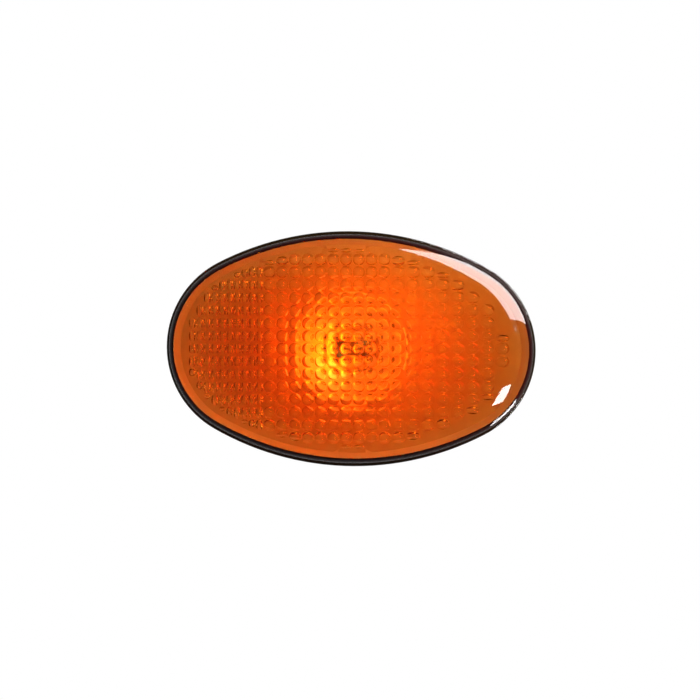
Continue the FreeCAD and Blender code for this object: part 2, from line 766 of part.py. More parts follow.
def build_contact(doc, s, label, side):
    """A bent strip: finger along the bulb wedge on one face, S-bend, blade on the middle plane."""
    body = make_body(doc, label)
    profile = make_sketch(body, f"{label}_profile", "YZ_Plane", side * s.contact_pitch / 2)
    half = s.contact_thickness / 2
    mitre = half * math.tan(math.pi / 8)
    tip = s.barrel_front + s.contact_setback
    bend = s.slot_rear
    blade = bend + s.contact_level
    end = s.shroud_floor + s.blade_length
    face = -side
    draw_polygon(profile, [
        (tip, face * (s.contact_level - half)),
        (bend - mitre, face * (s.contact_level - half)),
        (blade - mitre, face * -half),
        (end, face * -half),
        (end, face * half),
        (blade + mitre, face * half),
        (bend + mitre, face * (s.contact_level + half)),
        (tip, face * (s.contact_level + half)),
    ])
    pad(body, profile, f"{label}_strip", s.contact_width, symmetric=True)
    return body


def draw_envelope(sketch, radius, tip, rear):
    """Half section of a round-ended tube, closed at the rear."""
    shoulder = tip + radius
    arc = draw_arc(sketch, 0, shoulder, radius, -math.pi / 2, 0)
    corners = [(radius, shoulder), (radius, rear), (0, rear), (0, tip)]
    lines = []
    for (x, y), (next_x, next_y) in zip(corners, corners[1:]):
        lines.append(sketch.addGeometry(Part.LineSegment(point(x, y), point(next_x, next_y))))
    wall, end, axis = lines
    sketch.addConstraint(Sketcher.Constraint("Tangent", arc, 2, wall, 1))
    for first, second in ((wall, end), (end, axis), (axis, arc)):
        sketch.addConstraint(Sketcher.Constraint("Coincident", first, 2, second, 1))
    place_vertex(sketch, arc, 3, 0, shoulder)
    place_vertex(sketch, axis, 1, 0, rear)
    for line, direction in ((wall, "Vertical"), (end, "Horizontal"), (axis, "Vertical")):
        sketch.addConstraint(Sketcher.Constraint(direction, line))


def build_bulb_glass(doc, s):
    body = make_body(doc, "bulb_glass")
    envelope_rear = s.envelope_length - s.bulb_tip
    outer = make_sketch(body, "envelope_section", "XY_Plane")
    draw_envelope(outer, s.envelope_radius, -s.bulb_tip, envelope_rear)
    spin("Revolution", body, outer, "envelope")
    wedge = make_sketch(body, "wedge_outline", "XZ_Plane", -s.wedge_rear)
    draw_box(wedge, 0, s.wedge_width, s.wedge_thickness)
    pad(body, wedge, "wedge", s.wedge_rear - envelope_rear + s.pinch_length / 2)
    inner = make_sketch(body, "envelope_hollow_section", "XY_Plane")
    draw_envelope(inner, s.envelope_radius - s.envelope_wall, s.envelope_wall - s.bulb_tip,
                  envelope_rear - s.pinch_length)
    spin("Groove", body, inner, "envelope_hollow")
    leads = make_sketch(body, "lead_hole_outline", "XZ_Plane", -s.wedge_rear)
    for side in (-1, 1):
        draw_circle(leads, s.lead_radius + s.touch_gap, side * s.lead_spread)
    pocket(body, leads, "lead_holes", s.wedge_rear - envelope_rear + s.pinch_length + s.envelope_wall,
           backward=True)
    return body


def build_lead(doc, s, label, side):
    """A lead wire: up through the pinch to the filament, and folded back along the wedge."""
    body = make_body(doc, label)
    across = side * s.lead_spread
    straight = make_sketch(body, f"{label}_straight_section", "XZ_Plane", -s.wedge_rear)
    draw_circle(straight, s.lead_radius, across)
    pad(body, straight, f"{label}_straight", s.wedge_rear - s.filament_level)
    bend = make_sketch(body, f"{label}_bend_section", "XZ_Plane", -s.wedge_rear)
    fold = -side * s.lead_level
    bind(bend, "AttachmentOffset.Base.y", fold / 2)
    draw_circle(bend, s.lead_radius, across, -fold / 2)
    turn = spin("Revolution", body, bend, f"{label}_bend", "H_Axis")
    turn.Angle = 180
    turn.Reversed = side > 0
    folded = make_sketch(body, f"{label}_folded_section", "XZ_Plane", -s.wedge_rear)
    draw_circle(folded, s.lead_radius, across, fold)
    pad(body, folded, f"{label}_folded", s.lead_fold)
    return body


def build_lead_wires(doc, s):
    wires = doc.addObject("Part::Compound", "bulb_lead_wires")
    wires.Links = [build_lead(doc, s, "lead_left", -1), build_lead(doc, s, "lead_right", 1)]
    wires.Label = "bulb_lead_wires"
    return wires


def build_filament(doc, s):
    rod = doc.addObject("Part::Cylinder", "bulb_filament")
    rod.Label = "bulb_filament"
    length = 2 * (s.lead_spread - s.lead_radius - s.touch_gap)
    bind(rod, "Radius", s.filament_radius)
    bind(rod, "Height", length)
    rod.Placement.Rotation = FreeCAD.Rotation(FreeCAD.Vector(0, 1, 0), 90)
    bind(rod, "Placement.Base.x", -length / 2)
    bind(rod, "Placement.Base.y", s.filament_level + s.filament_radius)
    return rod


def check_document(doc):
    for feature in doc.Objects:
        if {"Invalid", "Error"} & set(feature.State):
            raise RuntimeError(f"{feature.Label} failed")
        base = getattr(feature, "BaseFeature", None)
        if feature.TypeId in ("PartDesign::Pocket", "PartDesign::Groove"):
            if feature.Shape.Volume > base.Shape.Volume - 0.01:
                raise RuntimeError(f"{feature.Label} cuts nothing")


def export(pieces):
    os.makedirs("parts", exist_ok=True)
    for piece in pieces:
        shape = piece.Shape
        if shape.isNull() or not shape.isValid():
            raise RuntimeError(f"{piece.Label} has no valid shape")
    for piece in pieces:
        piece.Shape.exportStep(f"parts/{piece.Label}.step")


def main():
    doc = FreeCAD.newDocument("side_indicator")
    s = fill_sheet(doc)
    add_shared_sizes(s)
    pieces = [
        build_lens(doc, s),
        build_housing(doc, s),
        build_reflector(doc, s),
        build_gasket(doc, s),
        build_holder(doc, s),
        build_seal(doc, s),
        build_contact(doc, s, "contact_left", -1),
        build_contact(doc, s, "contact_right", 1),
        build_bulb_glass(doc, s),
        build_lead_wires(doc, s),
        build_filament(doc, s),
    ]
    doc.recompute()
    check_document(doc)
    export(pieces)


main()
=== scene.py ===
import math

import bmesh
import bpy
import numpy as np
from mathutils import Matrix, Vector, geometry


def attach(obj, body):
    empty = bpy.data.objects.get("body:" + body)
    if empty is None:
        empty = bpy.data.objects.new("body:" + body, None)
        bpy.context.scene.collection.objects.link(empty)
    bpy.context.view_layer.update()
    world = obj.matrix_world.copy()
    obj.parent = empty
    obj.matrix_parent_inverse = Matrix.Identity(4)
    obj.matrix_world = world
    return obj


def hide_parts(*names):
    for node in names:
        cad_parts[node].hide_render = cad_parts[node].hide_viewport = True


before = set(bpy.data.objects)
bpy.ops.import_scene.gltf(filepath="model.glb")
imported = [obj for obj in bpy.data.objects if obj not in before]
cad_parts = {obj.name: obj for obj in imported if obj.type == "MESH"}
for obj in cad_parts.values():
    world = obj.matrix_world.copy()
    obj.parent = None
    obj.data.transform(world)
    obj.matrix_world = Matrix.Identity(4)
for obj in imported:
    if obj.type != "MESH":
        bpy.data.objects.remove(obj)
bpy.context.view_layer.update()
scene = bpy.context.scene
scene.view_settings.view_transform = "Standard"
mm = 0.001
mergeWithin = 2e-6  # metres
print("frame loaded:", ", ".join(sorted(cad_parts)))


def linear(hexColour):  # sRGB hex to linear RGBA
    srgb = [int(hexColour[i:i + 2], 16) / 255 for i in (1, 3, 5)]
    return tuple(c / 12.92 if c <= 0.04045 else ((c + 0.055) / 1.055) ** 2.4 for c in srgb) + (1.0,)


def addNode(tree, kind, settings=None, links=None):  # settings: property or input name -> value
    made = tree.nodes.new(kind)
    for key, value in (settings or {}).items():
        if isinstance(key, int) or key in made.inputs:
            made.inputs[key].default_value = value
        else:
            setattr(made, key, value)
    for key, source in (links or {}).items():
        tree.links.new(source, made.inputs[key])
    return made


def newMaterial(name):
    made = bpy.data.materials.new(name)
    made.use_nodes = True
    made.node_tree.nodes.clear()
    return made, made.node_tree


def dress(obj, material):
    obj.data.materials.clear()
    obj.data.materials.append(material)


def addPiece(name, points, faces, body, stands, crease=35):
    # merged, faces outwards, smooth with edges sharper than crease (degrees) kept
    mesh = bpy.data.meshes.new(name)
    mesh.from_pydata(points, [], faces)
    work = bmesh.new()
    work.from_mesh(mesh)
    bmesh.ops.remove_doubles(work, verts=work.verts, dist=mergeWithin)
    bmesh.ops.recalc_face_normals(work, faces=work.faces)
    work.to_mesh(mesh)
    work.free()
    mesh.shade_smooth()
    mesh.set_sharp_from_angle(angle=math.radians(crease))
    obj = bpy.data.objects.new(name, mesh)
    scene.collection.objects.link(obj)
    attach(obj, body)
    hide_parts(stands)
    return obj


# Oval outline: two end arcs and two side arcs that meet tangentially
oval = {"width": 73.8, "height": 47.0, "sideBow": 4.6, "tilt": -1.3, "endSteps": 88, "sideSteps": 72}


def ovalOutline(inset):
    # each arc is centre + radius * (cos, sin); the inset shortens every radius and keeps the centres
    endRadius = oval["height"] / 2 - oval["sideBow"]
    endCentre = oval["width"] / 2 - endRadius
    sideRadius = (endCentre ** 2 + (oval["height"] / 2) ** 2 - endRadius ** 2) / (2 * oval["sideBow"])
    drop = sideRadius - oval["height"] / 2
    joint = math.atan2(drop, endCentre)
    right = np.linspace(-joint, joint, oval["endSteps"], endpoint=False)
    top = np.linspace(joint, math.pi - joint, oval["sideSteps"], endpoint=False)
    angles = np.concatenate([right, top, right + math.pi, top + math.pi])
    counts = [right.size, top.size, right.size, top.size]
    centreX = np.repeat([endCentre, 0, -endCentre, 0], counts)
    centreZ = np.repeat([0, -drop, 0, drop], counts)
    radius = np.repeat([endRadius, sideRadius, endRadius, sideRadius], counts) - inset
    x = centreX + radius * np.cos(angles)
    z = centreZ + radius * np.sin(angles)
    turn = math.radians(oval["tilt"])
    return x * math.cos(turn) - z * math.sin(turn), x * math.sin(turn) + z * math.cos(turn)


lens = {
    "seat": 3.2, "lipInset": 0.1, "lipWidth": 0.5, "lipTop": 4.4, "lipRound": 0.3, "lipSteps": 5, "draft": 3.0,
    "crownInset": 12.6, "crownLevel": 9.7, "crownDrop": 4.5, "crownSteps": 26,
    "hollowInset": 1.6, "floor": 11.2, "crease": 30,
}
optics = {
    "margin": 1.83, "trim": 1.7, "rowPitch": 2.48, "finePitch": 1.45, "middlePitch": 2.5, "widePitch": 2.9,
    "fineLeft": 17.25, "wideLeft": 7.75, "gap": 0.2, "depth": 0.6, "steps": 6, "roundness": 0.85, "sphere": 0.54,
    "leastRow": 1 / 3, "steepest": 0.74,
}


def lensProfile():
    # (inset, forward) pairs from the edge of the optic floor, round the rear edge and lip, to the flat front:
    # drafted hollow wall, seat, lip with rounded corner, drafted skirt, quarter ellipse tangent to the skirt
    slope = math.tan(math.radians(lens["draft"]))
    foot = lens["lipInset"] + lens["lipWidth"]
    run = lens["crownInset"] - foot - slope * (lens["crownLevel"] - lens["seat"])
    reach = math.sqrt(run ** 2 - (slope * lens["crownDrop"]) ** 2)
    start = math.atan(slope * lens["crownDrop"] / reach)
    theta = np.linspace(start, math.pi / 2, lens["crownSteps"])
    corner = np.linspace(0, math.pi / 2, lens["lipSteps"])
    lipIn = lens["lipInset"] + lens["lipRound"] * (1 - np.cos(corner))
    lipOut = lens["lipTop"] - lens["lipRound"] * (1 - np.sin(corner))
    floorInset = lens["hollowInset"] + slope * (lens["floor"] - lens["seat"])
    insets = [[floorInset, lens["hollowInset"], lens["lipInset"]], lipIn,
              [foot + slope * (lens["lipTop"] - lens["seat"])],
              lens["crownInset"] - reach * np.cos(theta)]
    levels = [[lens["floor"], lens["seat"], lens["seat"]], lipOut, [lens["lipTop"]],
              lens["crownLevel"] + lens["crownDrop"] * np.sin(theta)]
    return np.concatenate(insets), np.concatenate(levels)


def opticCells():
    # rows of one height and three column widths, kept where they fit inside the optic oval
    slope = math.tan(math.radians(lens["draft"]))
    inset = lens["hollowInset"] + slope * (lens["floor"] - lens["seat"]) + optics["margin"]
    trim = optics["trim"] / 2
    endRadius = oval["height"] / 2 - oval["sideBow"] - inset
    endCentre = oval["width"] / 2 - endRadius - inset - trim
    halfHeight = endRadius + oval["sideBow"]
    sideRadius = (endCentre ** 2 + halfHeight ** 2 - endRadius ** 2) / (2 * oval["sideBow"])
    joint = endCentre * sideRadius / (sideRadius - endRadius)
    reach = endCentre + endRadius
    tilt = math.tan(math.radians(oval["tilt"]))

    def rise(x):
        across = np.abs(x + trim)
        end = np.sqrt(np.maximum(endRadius ** 2 - (across - endCentre) ** 2, 0))
        side = np.sqrt(np.maximum(sideRadius ** 2 - across ** 2, 0)) - sideRadius + halfHeight
        return np.where(across >= reach, 0, np.where(across > joint, end, side))

    def lines(start, pitch, limit):
        return start + pitch * np.arange(math.ceil((limit - start) / pitch) + 1)

    span = optics["fineLeft"] + optics["wideLeft"]
    count = round(span / optics["middlePitch"])
    middle = np.arange(1, count) * span / count - optics["fineLeft"]
    fine = lines(optics["fineLeft"], optics["finePitch"], reach + trim)
    wide = lines(optics["wideLeft"], optics["widePitch"], reach - trim)
    columns = np.concatenate([-fine[::-1], middle, wide])
    upper = lines(optics["rowPitch"] / 2, optics["rowPitch"], halfHeight)
    rows = np.concatenate([-upper[::-1], upper])
    left, low = [g.ravel() for g in np.meshgrid(columns[:-1], rows[:-1], indexing="ij")]
    right, high = [g.ravel() for g in np.meshgrid(columns[1:], rows[1:], indexing="ij")]
    top = np.minimum(high, np.minimum(rise(left) + left * tilt, rise(right) + right * tilt))
    bottom = np.maximum(low, np.maximum(left * tilt - rise(left), right * tilt - rise(right)))
    keep = top - bottom > optics["rowPitch"] * optics["leastRow"]
    gap = optics["gap"] / 2
    return np.stack([left + gap, right - gap, bottom + gap, top - gap], axis=1)[keep]


def buildLens():
    insets, levels = lensProfile()
    rings = [np.stack(ovalOutline(i), axis=1) for i in insets]
    wall = np.array(rings)                                   # profile carried along the outline
    ringCount, around = wall.shape[:2]
    points = np.empty((ringCount, around, 3))
    points[..., 0] = wall[..., 0]
    points[..., 1] = -levels[:, None]
    points[..., 2] = wall[..., 1]
    index = np.arange(ringCount * around).reshape(ringCount, around)
    nextRing = np.roll(index, -1, axis=1)
    quads = np.stack([index[:-1], nextRing[:-1], nextRing[1:], index[1:]], axis=-1).reshape(-1, 4)
    faces = quads.tolist()
    faces.append(index[-1].tolist())                         # flat front
    # dimples: a square grid pulled towards a disc, u = s * sqrt(1 - t^2 / 2), v = t * sqrt(1 - s^2 / 2),
    # sunk as a spherical cap whose depth is sqrt(1 - sphere * rho^2), taken down to 0 at the edge
    cells = opticCells()
    steps = optics["steps"]
    unit = np.linspace(-1, 1, steps + 1)
    s, t = np.meshgrid(unit, unit, indexing="ij")
    u = s * (1 - optics["roundness"] + optics["roundness"] * np.sqrt(1 - t ** 2 / 2))
    v = t * (1 - optics["roundness"] + optics["roundness"] * np.sqrt(1 - s ** 2 / 2))
    rhoSquared = 1 - (1 - s ** 2) * (1 - t ** 2)
    edge = math.sqrt(1 - optics["sphere"])
    bulge = (np.sqrt(1 - optics["sphere"] * rhoSquared) - edge) / (1 - edge)
    halfX = (cells[:, 1] - cells[:, 0]) / 2
    halfZ = (cells[:, 3] - cells[:, 2]) / 2
    depth = np.minimum(optics["depth"], np.minimum(halfX, halfZ) * optics["steepest"])
    dimples = np.empty((len(cells), steps + 1, steps + 1, 3))
    dimples[..., 0] = (cells[:, 0] + halfX)[:, None, None] + halfX[:, None, None] * u
    dimples[..., 1] = -lens["floor"] - depth[:, None, None] * bulge
    dimples[..., 2] = (cells[:, 2] + halfZ)[:, None, None] + halfZ[:, None, None] * v
    start = ringCount * around
    grid = np.arange(dimples[..., 0].size).reshape(dimples.shape[:3]) + start
    patch = np.stack([grid[:, :-1, :-1], grid[:, 1:, :-1], grid[:, 1:, 1:], grid[:, :-1, 1:]], axis=-1)
    faces += patch.reshape(-1, 4).tolist()
    # flat floor between the outline and the dimples
    border = np.concatenate([grid[:, :-1, 0], grid[:, -1, :-1], grid[:, :0:-1, -1], grid[:, 0, :0:-1]], axis=1)
    everyPoint = np.concatenate([points.reshape(-1, 3), dimples.reshape(-1, 3)])
    loops = [index[0]] + list(border)
    ids = np.concatenate(loops)
    plan = everyPoint[ids][:, [0, 2]]
    edges = []
    offset = 0
    for loop in loops:
        ring = np.arange(len(loop)) + offset
        edges += np.stack([ring, np.roll(ring, -1)], axis=1).tolist()
        offset += len(loop)
    plate = geometry.delaunay_2d_cdt([Vector(p) for p in plan], edges, [], 0, 1e-7)
    sources = np.array([origin[0] for origin in plate[3]])
    corners = sources[np.array(plate[2])]
    owner = np.repeat(np.arange(len(loops)), [len(loop) for loop in loops])[corners]
    inDimple = (owner[:, 0] > 0) & (owner[:, 0] == owner[:, 1]) & (owner[:, 0] == owner[:, 2])
    faces += ids[corners[~inDimple]].tolist()
    return addPiece("amber_lens", (everyPoint * mm).tolist(), faces, "lamp_body", "lens",
                    lens["crease"])


amberLens = buildLens()
print("lens:", len(amberLens.data.polygons), "faces")

# Acrylic (PMMA) tinted in the mass, polished mould: clear deep amber, sharp small reflections
amber = {"tint": (0.977, 0.67, 0.025, 1.0), "density": 1180.0, "ior": 1.49, "roughness": 0.03,
         "passes": (0.98, 0.98, 0.98, 1.0)}
amberAcrylic, tree = newMaterial("amber_acrylic_polished")
surface = addNode(tree, "ShaderNodeBsdfPrincipled", {
    "Base Color": (1, 1, 1, 1), "Transmission Weight": 1.0, "IOR": amber["ior"], "Roughness": amber["roughness"]})
inside = addNode(tree, "ShaderNodeVolumeAbsorption", {"Color": amber["tint"], "Density": amber["density"]})
path = addNode(tree, "ShaderNodeLightPath")              # the lamps shine straight through to the reflector
clear = addNode(tree, "ShaderNodeBsdfTransparent", {"Color": amber["passes"]})
mixed = addNode(tree, "ShaderNodeMixShader", None,
                {0: path.outputs["Is Shadow Ray"], 1: surface.outputs[0], 2: clear.outputs[0]})
addNode(tree, "ShaderNodeOutputMaterial", None, {"Surface": mixed.outputs[0], "Volume": inside.outputs[0]})
dress(amberLens, amberAcrylic)

# ABS, black, moulded in a spark-eroded tool: fine matt grain
eroded = {"dark": "#131313", "pale": "#1d1d1e", "grain": 0.35, "relief": 0.03, "strength": 0.35, "cloud": 14,
          "ior": 1.53, "roughness": 0.62}
blackAbs, tree = newMaterial("black_abs_textured")
where = addNode(tree, "ShaderNodeTexCoord")
grain = addNode(tree, "ShaderNodeTexNoise", {"Scale": 1 / (eroded["grain"] * mm), "Detail": 3.0},
                {"Vector": where.outputs["Object"]})
bump = addNode(tree, "ShaderNodeBump", {"Strength": eroded["strength"], "Distance": eroded["relief"] * mm},
               {"Height": grain.outputs["Fac"]})
tone = addNode(tree, "ShaderNodeTexNoise", {"Scale": 1 / (eroded["cloud"] * mm), "Detail": 2.0},
               {"Vector": where.outputs["Object"]})
shade = addNode(tree, "ShaderNodeValToRGB", None, {"Fac": tone.outputs["Fac"]})
shade.color_ramp.elements[0].color = linear(eroded["dark"])
shade.color_ramp.elements[1].color = linear(eroded["pale"])
surface = addNode(tree, "ShaderNodeBsdfPrincipled", {"IOR": eroded["ior"], "Roughness": eroded["roughness"]},
                  {"Base Color": shade.outputs["Color"], "Normal": bump.outputs["Normal"]})
addNode(tree, "ShaderNodeOutputMaterial", None, {"Surface": surface.outputs[0]})
dress(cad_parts["housing"], blackAbs)

# Glass-filled nylon, undyed: creamy white, satin, with faint flow marks
flow = {"dark": "#d6d2c6", "pale": "#e6e2d8", "marks": 1.6, "swirl": 1.2, "relief": 0.02, "strength": 0.25,
        "ior": 1.54, "roughness": 0.55}
nylon, tree = newMaterial("natural_nylon_satin")
where = addNode(tree, "ShaderNodeTexCoord")
fibres = addNode(tree, "ShaderNodeTexNoise",
                 {"Scale": 1 / (flow["marks"] * mm), "Detail": 6.0, "Distortion": flow["swirl"]},
                 {"Vector": where.outputs["Object"]})
shade = addNode(tree, "ShaderNodeValToRGB", None, {"Fac": fibres.outputs["Fac"]})
shade.color_ramp.elements[0].color = linear(flow["dark"])
shade.color_ramp.elements[1].color = linear(flow["pale"])
bump = addNode(tree, "ShaderNodeBump", {"Strength": flow["strength"], "Distance": flow["relief"] * mm},
               {"Height": fibres.outputs["Fac"]})
surface = addNode(tree, "ShaderNodeBsdfPrincipled", {"IOR": flow["ior"], "Roughness": flow["roughness"]},
                  {"Base Color": shade.outputs["Color"], "Normal": bump.outputs["Normal"]})
addNode(tree, "ShaderNodeOutputMaterial", None, {"Surface": surface.outputs[0]})
dress(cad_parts["bulb_holder"], nylon)

# Moulded rubbers, both matt with a dusty bloom: EPDM, soft black, and silicone, brick red
rubbers = {
    "panel_gasket": {"name": "black_epdm_moulded", "dark": "#1b1b1b", "pale": "#2c2b2a", "bloom": 3, "detail": 5.0,
                     "roughness": 0.78},
    "holder_seal": {"name": "red_silicone_moulded", "dark": "#6e2a1c", "pale": "#85382a", "bloom": 2, "detail": 4.0,
                    "roughness": 0.6},
}
for node, rubber in rubbers.items():
    moulded, tree = newMaterial(rubber["name"])
    where = addNode(tree, "ShaderNodeTexCoord")
    bloom = addNode(tree, "ShaderNodeTexNoise", {"Scale": 1 / (rubber["bloom"] * mm), "Detail": rubber["detail"]},
                    {"Vector": where.outputs["Object"]})
    shade = addNode(tree, "ShaderNodeValToRGB", None, {"Fac": bloom.outputs["Fac"]})
    shade.color_ramp.elements[0].color = linear(rubber["dark"])
    shade.color_ramp.elements[1].color = linear(rubber["pale"])
    surface = addNode(tree, "ShaderNodeBsdfPrincipled", {"Roughness": rubber["roughness"]},
                      {"Base Color": shade.outputs["Color"]})
    addNode(tree, "ShaderNodeOutputMaterial", None, {"Surface": surface.outputs[0]})
    dress(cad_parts[node], moulded)

# Aluminium film, vacuum metallised in the bowl only: the wings stay bare warm grey ABS, matt
mirror = {"film": "#f4f4f6", "bare": "#a0968f", "bowlRadius": 11.0, "blend": 0.5,
          "filmRoughness": 0.3, "bareRoughness": 0.85}
film, tree = newMaterial("aluminium_film_on_grey_abs")
where = addNode(tree, "ShaderNodeTexCoord")
flatten = addNode(tree, "ShaderNodeVectorMath", {"operation": "MULTIPLY", 1: (1, 0, 1)}, {0: where.outputs["Object"]})
fromAxis = addNode(tree, "ShaderNodeVectorMath", {"operation": "LENGTH"}, {0: flatten.outputs[0]})
coated = addNode(tree, "ShaderNodeMapRange", {
    "From Min": mirror["bowlRadius"] * mm, "From Max": (mirror["bowlRadius"] + mirror["blend"]) * mm,
    "To Min": 1.0, "To Max": 0.0}, {"Value": fromAxis.outputs["Value"]})
colour = addNode(tree, "ShaderNodeMix", {"data_type": "RGBA"}, {0: coated.outputs["Result"]})
colour.inputs[6].default_value = linear(mirror["bare"])
colour.inputs[7].default_value = linear(mirror["film"])
rough = addNode(tree, "ShaderNodeMapRange", {"To Min": mirror["bareRoughness"], "To Max": mirror["filmRoughness"]},
                {"Value": coated.outputs["Result"]})
surface = addNode(tree, "ShaderNodeBsdfPrincipled", {"Specular IOR Level": 0.0}, {
    "Base Color": colour.outputs[2], "Metallic": coated.outputs["Result"], "Roughness": rough.outputs["Result"]})
addNode(tree, "ShaderNodeOutputMaterial", None, {"Surface": surface.outputs[0]})
dress(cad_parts["reflector"], film)

# Rolled brass strip: warm, fine rolling lines along the strip
strip = {"colour": "#d8b868", "lineWidth": 0.15, "lineLength": 4, "smooth": 0.22, "dull": 0.4}
brass, tree = newMaterial("rolled_brass")
where = addNode(tree, "ShaderNodeTexCoord")
across = 1 / (strip["lineWidth"] * mm)
stretch = addNode(tree, "ShaderNodeMapping", {"Scale": (across, 1 / (strip["lineLength"] * mm), across)},
                  {"Vector": where.outputs["Object"]})
rolled = addNode(tree, "ShaderNodeTexNoise", {"Scale": 1.0, "Detail": 3.0}, {"Vector": stretch.outputs[0]})
rough = addNode(tree, "ShaderNodeMapRange", {"To Min": strip["smooth"], "To Max": strip["dull"]},
                {"Value": rolled.outputs["Fac"]})
surface = addNode(tree, "ShaderNodeBsdfPrincipled", {"Base Color": linear(strip["colour"]), "Metallic": 1.0},
                  {"Roughness": rough.outputs["Result"]})
addNode(tree, "ShaderNodeOutputMaterial", None, {"Surface": surface.outputs[0]})
dress(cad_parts["contact_left"], brass)
dress(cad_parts["contact_right"], brass)

# Soda-lime glass, blown: clear with a faint green edge and slow waves in the wall
blown = {"colour": "#fbfdfb", "passes": "#f4f6f4", "wave": 4, "relief": 0.05, "strength": 0.2, "ior": 1.52}
glass, tree = newMaterial("clear_glass_blown")
where = addNode(tree, "ShaderNodeTexCoord")
waves = addNode(tree, "ShaderNodeTexNoise", {"Scale": 1 / (blown["wave"] * mm), "Detail": 1.0},
                {"Vector": where.outputs["Object"]})
bump = addNode(tree, "ShaderNodeBump", {"Strength": blown["strength"], "Distance": blown["relief"] * mm},
               {"Height": waves.outputs["Fac"]})
surface = addNode(tree, "ShaderNodeBsdfPrincipled", {
    "Base Color": linear(blown["colour"]), "Transmission Weight": 1.0, "IOR": blown["ior"], "Roughness": 0.0},
    {"Normal": bump.outputs["Normal"]})
path = addNode(tree, "ShaderNodeLightPath")              # lets the lamps through, as the lens does
clear = addNode(tree, "ShaderNodeBsdfTransparent", {"Color": linear(blown["passes"])})
mixed = addNode(tree, "ShaderNodeMixShader", None,
                {0: path.outputs["Is Shadow Ray"], 1: surface.outputs[0], 2: clear.outputs[0]})
addNode(tree, "ShaderNodeOutputMaterial", None, {"Surface": mixed.outputs[0]})
dress(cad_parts["bulb_glass"], glass)

# Nickel wire, drawn: warm silver with fine lines along the leads
leads = {"colour": "#cfc9bd", "lineWidth": 0.05, "lineLength": 2, "smooth": 0.2, "dull": 0.4}
nickel, tree = newMaterial("nickel_wire_drawn")
where = addNode(tree, "ShaderNodeTexCoord")
across = 1 / (leads["lineWidth"] * mm)
stretch = addNode(tree, "ShaderNodeMapping", {"Scale": (across, 1 / (leads["lineLength"] * mm), across)},
                  {"Vector": where.outputs["Object"]})
drawn = addNode(tree, "ShaderNodeTexNoise", {"Scale": 1.0, "Detail": 2.0}, {"Vector": stretch.outputs[0]})
rough = addNode(tree, "ShaderNodeMapRange", {"To Min": leads["smooth"], "To Max": leads["dull"]},
                {"Value": drawn.outputs["Fac"]})
surface = addNode(tree, "ShaderNodeBsdfPrincipled", {"Base Color": linear(leads["colour"]), "Metallic": 1.0},
                  {"Roughness": rough.outputs["Result"]})
addNode(tree, "ShaderNodeOutputMaterial", None, {"Surface": surface.outputs[0]})
dress(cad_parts["bulb_lead_wires"], nickel)

# Filament: a coil of wire inside the rod's outline, along X
coil = {"halfLength": 1.75, "forward": 1.55, "radius": 0.19, "wire": 0.055, "turns": 14, "turnSteps": 14,
        "sides": 6, "crease": 60}


def buildFilament():
    # centre line (x, r cos a, r sin a), a running along x
    # the tube is centre + wire * (cos b * radial + sin b * binormal)
    a = np.linspace(0, 2 * math.pi * coil["turns"], coil["turns"] * coil["turnSteps"] + 1)
    b = np.linspace(0, 2 * math.pi, coil["sides"], endpoint=False)
    reach = coil["halfLength"] - coil["wire"]
    rise = reach / (math.pi * coil["turns"])
    lean = math.hypot(rise, coil["radius"])
    zero = np.zeros_like(a)
    centre = np.stack([rise * a - reach, coil["radius"] * np.cos(a) - coil["forward"],
                       coil["radius"] * np.sin(a)], axis=1)
    radial = np.stack([zero, np.cos(a), np.sin(a)], axis=1)
    binormal = np.stack([zero + coil["radius"], rise * np.sin(a), -rise * np.cos(a)], axis=1) / lean
    cosB, sinB = np.cos(b)[:, None], np.sin(b)[:, None]
    tube = centre[:, None] + coil["wire"] * (cosB * radial[:, None] + sinB * binormal[:, None])
    index = np.arange(tube[..., 0].size).reshape(tube.shape[:2])
    beside = np.roll(index, -1, axis=1)
    faces = np.stack([index[:-1], beside[:-1], beside[1:], index[1:]], axis=-1).reshape(-1, 4).tolist()
    faces += [index[0].tolist(), index[-1].tolist()]
    return addPiece("coiled_filament", (tube.reshape(-1, 3) * mm).tolist(), faces, "bulb_unit",
                    "bulb_filament", coil["crease"])


filament = buildFilament()
print("filament:", len(filament.data.polygons), "faces")

# Tungsten wire, drawn: dark steel grey, slightly uneven
wire = {"colour": "#8d8d90", "patch": 0.08, "smooth": 0.28, "dull": 0.45}
tungsten, tree = newMaterial("tungsten_wire_drawn")
where = addNode(tree, "ShaderNodeTexCoord")
drawn = addNode(tree, "ShaderNodeTexNoise", {"Scale": 1 / (wire["patch"] * mm), "Detail": 2.0},
                {"Vector": where.outputs["Object"]})
rough = addNode(tree, "ShaderNodeMapRange", {"To Min": wire["smooth"], "To Max": wire["dull"]},
                {"Value": drawn.outputs["Fac"]})
surface = addNode(tree, "ShaderNodeBsdfPrincipled", {"Base Color": linear(wire["colour"]), "Metallic": 1.0},
                  {"Roughness": rough.outputs["Result"]})
addNode(tree, "ShaderNodeOutputMaterial", None, {"Surface": surface.outputs[0]})
dress(filament, tungsten)
print("materials done")

